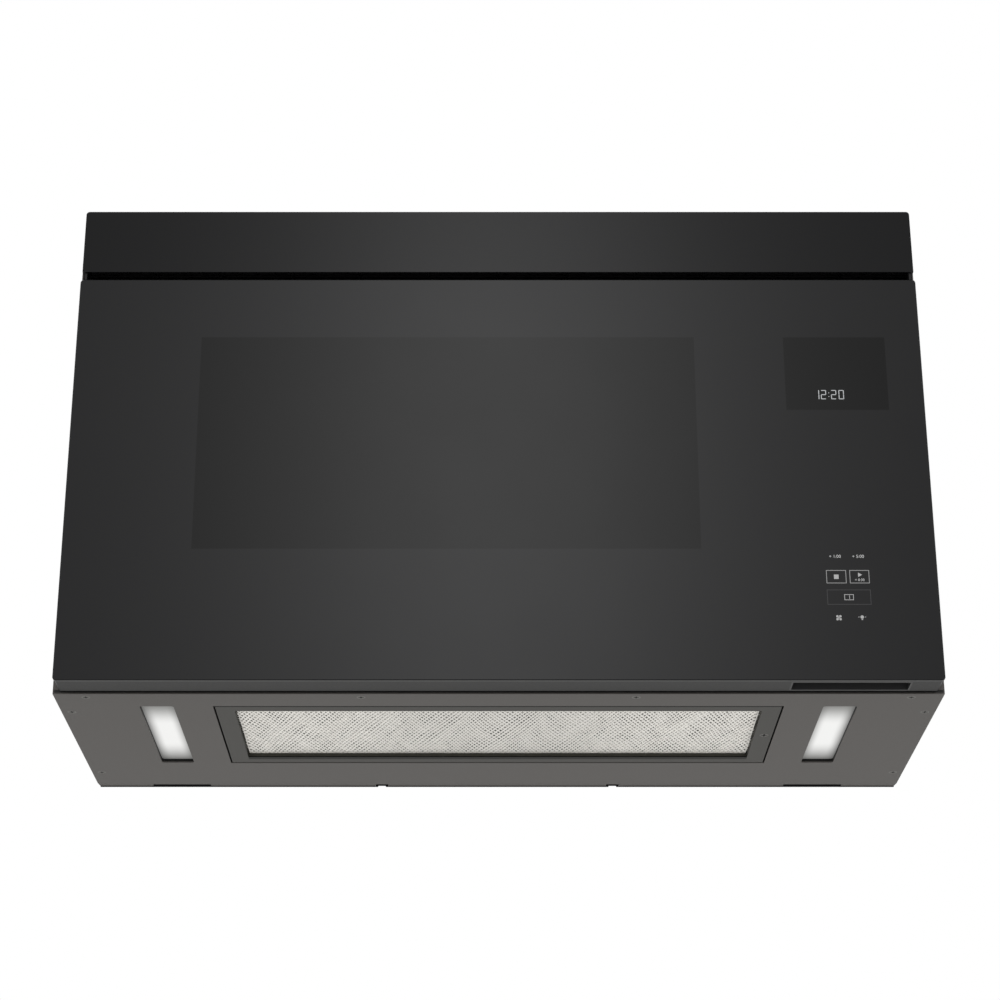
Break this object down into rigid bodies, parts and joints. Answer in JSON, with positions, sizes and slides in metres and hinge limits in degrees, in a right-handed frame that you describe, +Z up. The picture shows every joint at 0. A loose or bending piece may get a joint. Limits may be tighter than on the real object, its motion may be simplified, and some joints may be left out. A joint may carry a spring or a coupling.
{
  "type": "built-in microwave",
  "caption": "Built-in hood microwave with a full-width black glass door, top vent slot, underside grease filter and cooktop lights.",
  "frame": {"origin": "middle of the footprint on the plane of the underside", "axes": "+X to the right seen from the front, +Y from the door to the wall, +Z up"},
  "size_m": [0.759, 0.329, 0.4444],
  "materials": {
    "case_paint": "satin dark grey paint",
    "base_paint": "satin grey paint",
    "trim_steel": "fine brushed black metal",
    "zinc_sheet": "zinc coated sheet",
    "oven_enamel": "grey cavity enamel",
    "front_enamel": "dark enamel",
    "steel": "plain steel",
    "mesh": "layered expanded mesh",
    "aluminium": "mill finish",
    "copper": "enamelled copper wire",
    "iron": "laminated core",
    "black_plastic": "moulded black plastic",
    "grey_plastic": "moulded grey plastic",
    "white_plastic": "moulded white plastic",
    "board": "circuit board",
    "front_glass": "black printed glass",
    "clear_glass": "clear sheet",
    "ceramic": "glass ceramic",
    "lens": "frosted lens",
    "charcoal": "charcoal pad",
    "rubber": "bush"
  },
  "bodies": {
    "cabinet": {"outer_case": "case_paint", "back_panel": "zinc_sheet", "base_plate": "base_paint", "front_plate": "front_enamel", "oven_cavity": "oven_enamel", "ceramic_floor": "ceramic", "antenna_well": "zinc_sheet", "stirrer_motor": "zinc_sheet", "waveguide": "zinc_sheet", "magnetron": "aluminium", "component_tray": "zinc_sheet", "transformer_core": "iron", "transformer_windings": "copper", "hv_capacitor": "aluminium", "hv_diode": "black_plastic", "cooling_fan_shroud": "grey_plastic", "cooling_fan_motor": "zinc_sheet", "blower_scroll_left": "grey_plastic", "blower_scroll_right": "grey_plastic", "blower_motor": "zinc_sheet", "blower_bracket": "zinc_sheet", "charcoal_filter": "charcoal", "exhaust_cover": "zinc_sheet", "cord_bushing": "rubber", "mount_nuts": "steel", "top_trim": "trim_steel", "vent_grille": "black_plastic", "lamp_tray_left": "white_plastic", "lamp_tray_right": "white_plastic", "lamp_lens_left": "lens", "lamp_lens_right": "lens", "lamp_boards": "board", "base_screws": "steel", "hinge_arm_lower": "steel", "hinge_arm_upper": "steel", "latch_bracket": "white_plastic", "interlock_switches": "black_plastic", "release_coil": "copper", "power_board": "board", "cavity_lamp": "white_plastic", "thermal_cutouts": "black_plastic"},
    "door": {"door_glass": "front_glass", "door_frame": "black_plastic", "pull_cup": "black_plastic", "door_inner_panel": "front_enamel", "choke_cover": "black_plastic", "inner_window": "clear_glass", "control_board": "board", "display_module": "black_plastic", "hinge_block_lower": "steel", "hinge_block_upper": "steel"},
    "latch": {"latch_hooks": "white_plastic"},
    "release": {"release_lever": "steel"},
    "plungers": {"switch_plungers": "white_plastic"},
    "antenna": {"antenna_rotor": "aluminium"},
    "cooling_fan": {"cooling_fan_blade": "grey_plastic"},
    "blower": {"blower_wheels": "grey_plastic"},
    "grease_filter": {"filter_frame": "base_paint", "filter_mesh": "mesh", "filter_screw": "steel"}
  },
  "joints": [
    {"name": "door_swing", "type": "hinge", "parent": "cabinet", "child": "door", "pos_m": [-0.3656, -0.1515, 0], "axis": [0, 0, -1], "range_deg": [0, 100]},
    {"name": "latch_lift", "type": "slide", "parent": "door", "child": "latch", "axis": [0, 0, 1], "range_m": [0, 0.006], "stiffness_N_per_m": 60},
    {"name": "release_tip", "type": "hinge", "parent": "cabinet", "child": "release", "pos_m": [0.262, -0.1067, 0.125], "axis": [-1, 0, 0], "range_deg": [0, 21.5]},
    {"name": "plunger_press", "type": "slide", "parent": "cabinet", "child": "plungers", "axis": [0, 1, 0], "range_m": [0, 0.0012], "stiffness_N_per_m": 200},
    {"name": "antenna_spin", "type": "hinge", "parent": "cabinet", "child": "antenna", "pos_m": [-0.0445, -0.0031, 0.052], "axis": [0, 0, 1], "continuous": true},
    {"name": "cooling_fan_spin", "type": "hinge", "parent": "cabinet", "child": "cooling_fan", "pos_m": [0.306, 0.1305, 0.2627], "axis": [0, 1, 0], "continuous": true},
    {"name": "blower_spin", "type": "hinge", "parent": "cabinet", "child": "blower", "pos_m": [0, 0.113, 0.3939], "axis": [1, 0, 0], "continuous": true},
    {"name": "filter_drop", "type": "hinge", "parent": "cabinet", "child": "grease_filter", "pos_m": [-0.2432, 0, 0.0026], "axis": [0, 1, 0], "range_deg": [0, 75]}
  ],
  "couplings": [
    {"joint": "release_tip", "follows": "latch_lift", "rad_per_m": 62.5}
  ]
}
